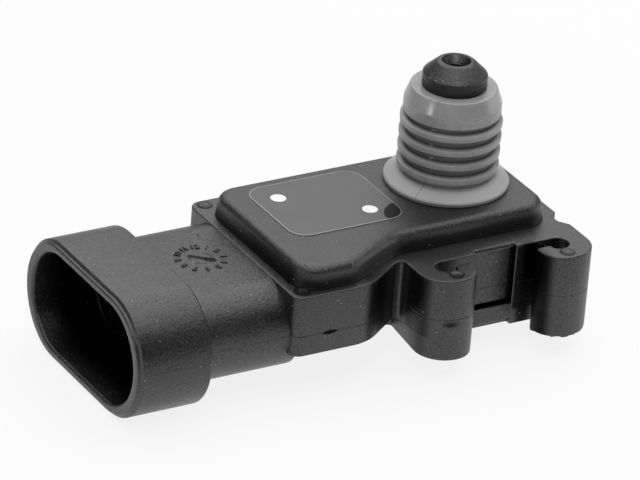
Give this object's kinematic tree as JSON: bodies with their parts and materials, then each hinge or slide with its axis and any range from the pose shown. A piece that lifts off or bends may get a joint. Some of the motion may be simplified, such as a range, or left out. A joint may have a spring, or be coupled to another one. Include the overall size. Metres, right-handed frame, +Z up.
{
  "type": "manifold absolute pressure sensor",
  "caption": "Intake pressure sensor with a ribbed port seal, a bonded cover, hooked bracket lugs and a three-way plug socket.",
  "frame": {"origin": "on the nozzle's axis, level with the cover's top face", "axes": "+Z up the nozzle towards its tip, -X out of the plug socket's mouth, -Y towards the bracket lugs"},
  "size_m": [0.0673, 0.0336, 0.0354],
  "materials": {
    "housing_plastic": "fine spark-eroded moulding, satin",
    "cover_plastic": "fine moulding, satin",
    "sealant": "cured silicone",
    "seal_rubber": "moulded silicone, satin",
    "label_film": "thin film, matt",
    "mark_paint": "dab of white paint",
    "terminal_metal": "tin plated",
    "board_ceramic": "fired alumina",
    "adhesive": "cured silicone",
    "wire_aluminium": "drawn wire",
    "base_glass": "ground glass",
    "die_silicon": "polished silicon",
    "wire_gold": "drawn gold wire",
    "dam_plastic": "moulded ring",
    "gel": "clear silicone gel",
    "chip_plastic": "moulded epoxy",
    "capacitor_ceramic": "fired chip",
    "resistor_film": "fired thick film"
  },
  "bodies": {
    "root": {"housing": "housing_plastic", "cover": "cover_plastic", "cover_sealant": "sealant", "port_seal": "seal_rubber", "label": "label_film", "paint_marks": "mark_paint", "terminal_a": "terminal_metal", "terminal_b": "terminal_metal", "terminal_c": "terminal_metal", "circuit_board": "board_ceramic", "board_adhesive": "adhesive", "lead_wires": "wire_aluminium", "glass_base": "base_glass", "pressure_die": "die_silicon", "die_wires": "wire_gold", "gel_dam": "dam_plastic", "gel_fill": "gel", "signal_chip": "chip_plastic", "supply_capacitor": "capacitor_ceramic", "output_capacitor": "capacitor_ceramic", "filter_capacitor": "capacitor_ceramic", "trim_resistors": "resistor_film"}
  },
  "joints": []
}
